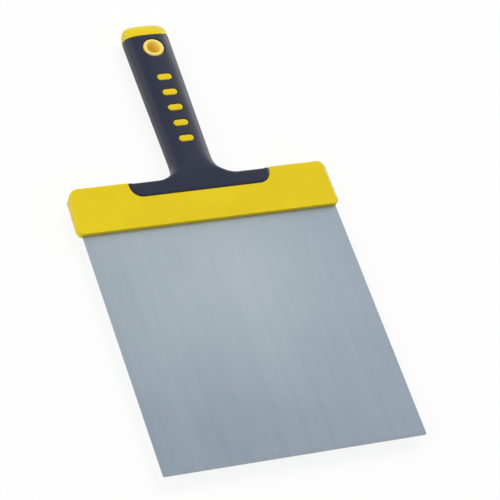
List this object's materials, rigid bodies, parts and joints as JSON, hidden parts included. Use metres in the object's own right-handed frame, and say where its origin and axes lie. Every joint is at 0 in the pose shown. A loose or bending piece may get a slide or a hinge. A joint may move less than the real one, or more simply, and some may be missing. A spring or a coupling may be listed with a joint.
{
  "type": "flexible putty knife",
  "caption": "Wide flexible putty knife: a spring-steel blade clamped in a plastic bar, a soft T-shaped grip and a hanging hole in the butt of the handle.",
  "frame": {"origin": "under the middle of the knife's outline, at the level of the lowest point of its back, as it lies on its back", "axes": "+Y along the handle from the blade's edge to the butt, +X across the blade to the right seen from the front, +Z out of the front of the blade and the grip"},
  "size_m": [0.2074, 0.3854, 0.0238],
  "materials": {
    "blade_steel": "satin",
    "yellow_plastic": "semi-gloss moulded",
    "soft_grip": "matt moulded",
    "golden_plastic": "semi-gloss moulded",
    "pin_steel": "plain"
  },
  "bodies": {
    "handle": {"blade_root": "blade_steel", "front_jaw": "yellow_plastic", "rear_jaw": "yellow_plastic", "blade_pins": "pin_steel", "tang_pins": "pin_steel", "handle_core": "yellow_plastic", "grip": "soft_grip", "grip_inlays": "yellow_plastic", "hang_eyelet": "golden_plastic", "butt_cap": "yellow_plastic"},
    "blade": {"blade_leaf": "blade_steel"}
  },
  "joints": [
    {"name": "blade_flex", "type": "hinge", "parent": "handle", "child": "blade", "pos_m": [0, -0.02057, 0.0119], "axis": [1, 0, 0], "range_deg": [-35, 35], "stiffness_Nm_per_rad": 8.01}
  ]
}
